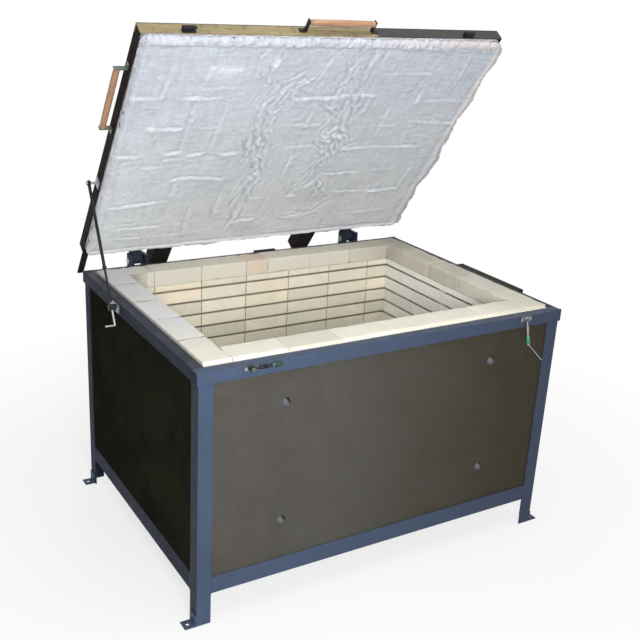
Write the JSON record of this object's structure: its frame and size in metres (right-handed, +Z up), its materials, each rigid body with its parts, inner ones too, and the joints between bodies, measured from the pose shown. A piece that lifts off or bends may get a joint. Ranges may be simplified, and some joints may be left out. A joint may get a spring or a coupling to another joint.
{
  "type": "electric kiln",
  "caption": "Top-loading electric kiln: angle-iron frame on legs, firebrick chamber with heating elements, fibre-lined lid propped open by a rod, swing-bolt latches.",
  "frame": {"origin": "floor level, at the middle of the four floor anchor holes", "axes": "+Z up, front towards -Y, +X to the right when facing the front"},
  "size_m": [1.8993, 1.5516, 2.1769],
  "materials": {
    "frame_paint": "satin enamel",
    "panel_paint": "satin enamel",
    "lid_steel": "satin enamel",
    "lid_front_paint": "worn satin enamel",
    "firebrick": "matt, porous",
    "board": "matt",
    "fibre": "matt, soft",
    "element_wire": "oxidised",
    "porcelain": "glossy",
    "bare_steel": "bright",
    "black_steel": "satin",
    "grip_wood": "varnished",
    "green_knob": "glossy",
    "buffer_rubber": "matt",
    "gland_plastic": "matt"
  },
  "bodies": {
    "kiln": {"leg_front_left": "frame_paint", "leg_front_right": "frame_paint", "leg_back_left": "frame_paint", "leg_back_right": "frame_paint", "ring_front": "frame_paint", "ring_back": "frame_paint", "ring_left": "frame_paint", "ring_right": "frame_paint", "base_rail_front": "frame_paint", "base_rail_back": "frame_paint", "base_rail_left": "frame_paint", "base_rail_right": "frame_paint", "feet": "frame_paint", "floor_plate": "panel_paint", "panel_front": "panel_paint", "panel_back": "panel_paint", "panel_left": "panel_paint", "panel_right": "panel_paint", "panel_bolts": "panel_paint", "board_front": "board", "board_back": "board", "board_left": "board", "board_right": "board", "floor_board": "board", "wall_front": "firebrick", "wall_back": "firebrick", "wall_left": "firebrick", "wall_right": "firebrick", "rim_bricks": "firebrick", "hearth_bricks": "firebrick", "elements": "element_wire", "terminal_box": "lid_steel", "terminal_cover": "lid_steel", "terminal_blocks": "porcelain", "cable_gland": "gland_plastic", "hinge_brackets": "frame_paint", "hinge_pins": "bare_steel", "rear_buffer": "buffer_rubber", "stay_base": "bare_steel", "latch_brackets": "bare_steel", "bracket_screws": "bare_steel"},
    "lid": {"lid_rail_front": "lid_front_paint", "lid_rail_back": "lid_steel", "lid_rail_left": "lid_steel", "lid_rail_right": "lid_steel", "lid_cover": "lid_steel", "lid_fibre": "fibre", "hinge_leaves": "frame_paint", "lid_arms": "lid_steel", "stay_lug": "bare_steel", "handle_straps": "black_steel", "handle_grips": "grip_wood", "strikes": "frame_paint"},
    "stay_rod": {"stay_rod": "black_steel"},
    "stay_guide": {"stay_guide": "black_steel"},
    "latch_left": {"latch_bolt_left": "bare_steel"},
    "knob_left": {"latch_knob_left": "green_knob"},
    "latch_right": {"latch_bolt_right": "bare_steel"},
    "knob_right": {"latch_knob_right": "green_knob"}
  },
  "joints": [
    {"name": "lid_hinge", "type": "hinge", "parent": "kiln", "child": "lid", "pos_m": [0, 0.673, 1.053], "axis": [1, 0, 0], "range_deg": [0, 53]},
    {"name": "stay_rod_pivot", "type": "hinge", "parent": "lid", "child": "stay_rod", "pos_m": [-0.8633, 0.43383, 1.48006], "axis": [1, 0, 0], "range_deg": [-27, 0.5]},
    {"name": "stay_guide_swivel", "type": "hinge", "parent": "kiln", "child": "stay_guide", "pos_m": [-0.8633, 0.18464, 1.02], "axis": [1, 0, 0], "range_deg": [-0.5, 27]},
    {"name": "latch_left_swing", "type": "hinge", "parent": "kiln", "child": "latch_left", "pos_m": [-0.64, -0.635, 1.032], "axis": [0, -1, 0], "range_deg": [-90, 90]},
    {"name": "knob_left_spin", "type": "hinge", "parent": "latch_left", "child": "knob_left", "pos_m": [-0.54, -0.635, 1.032], "axis": [1, 0, 0], "range_deg": [0, 720]},
    {"name": "latch_right_swing", "type": "hinge", "parent": "kiln", "child": "latch_right", "pos_m": [0.64, -0.635, 1.032], "axis": [0, -1, 0], "range_deg": [-12, 168]},
    {"name": "knob_right_spin", "type": "hinge", "parent": "latch_right", "child": "knob_right", "pos_m": [0.66079, -0.635, 0.93419], "axis": [0.2079, 0, -0.9781], "range_deg": [0, 720]}
  ],
  "couplings": [
    {"joint": "stay_rod_pivot", "follows": "lid_hinge", "ratio": -0.5},
    {"joint": "stay_guide_swivel", "follows": "lid_hinge", "ratio": 0.5}
  ]
}
